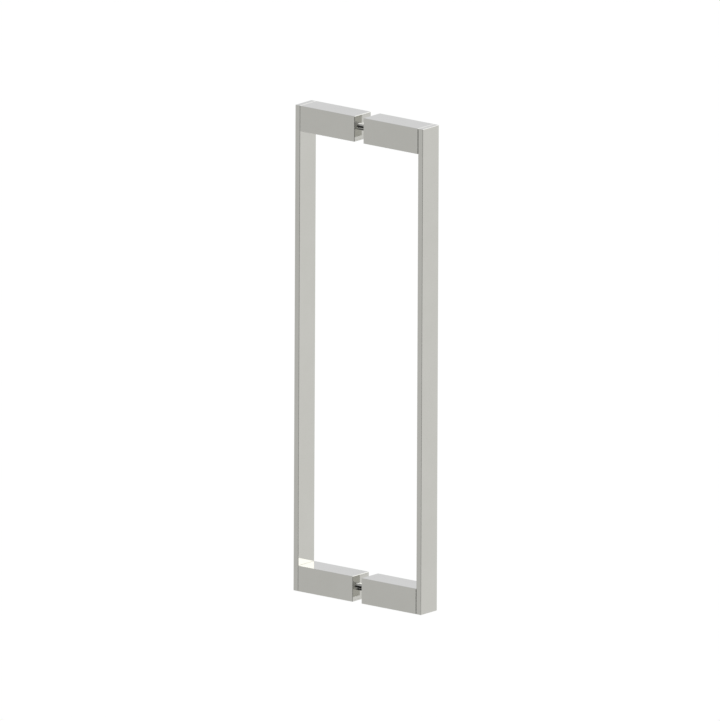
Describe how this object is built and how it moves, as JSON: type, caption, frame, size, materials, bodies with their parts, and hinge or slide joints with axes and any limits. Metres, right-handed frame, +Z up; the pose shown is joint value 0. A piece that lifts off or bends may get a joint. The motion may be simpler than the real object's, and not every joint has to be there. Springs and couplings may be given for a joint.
{
  "type": "shower door handle",
  "caption": "Back-to-back square pull handle for a glass shower door: flat vertical bars on square arms, joined through the glass by polished studs.",
  "frame": {"origin": "midway between the two studs, in the middle of the gap where the glass goes", "axes": "+Z up along the bars, +X through the glass from the back handle to the front handle, +Y across the bars' width"},
  "size_m": [0.158, 0.0254, 0.4826],
  "materials": {
    "polished_nickel": "polished",
    "plug_steel": "satin",
    "screw_steel": "satin",
    "polished_stud": "polished"
  },
  "bodies": {
    "root": {"front_bar": "polished_nickel", "back_bar": "polished_nickel", "front_upper_arm": "polished_nickel", "front_lower_arm": "polished_nickel", "back_upper_arm": "polished_nickel", "back_lower_arm": "polished_nickel", "front_upper_stud_insert": "polished_nickel", "front_lower_stud_insert": "polished_nickel", "back_upper_stud_insert": "polished_nickel", "back_lower_stud_insert": "polished_nickel", "front_upper_end_plug": "plug_steel", "front_lower_end_plug": "plug_steel", "back_upper_end_plug": "plug_steel", "back_lower_end_plug": "plug_steel", "front_upper_bar_screw": "screw_steel", "front_lower_bar_screw": "screw_steel", "back_upper_bar_screw": "screw_steel", "back_lower_bar_screw": "screw_steel", "upper_stud": "polished_stud", "lower_stud": "polished_stud", "upper_grub_screw": "screw_steel", "lower_grub_screw": "screw_steel"}
  },
  "joints": []
}
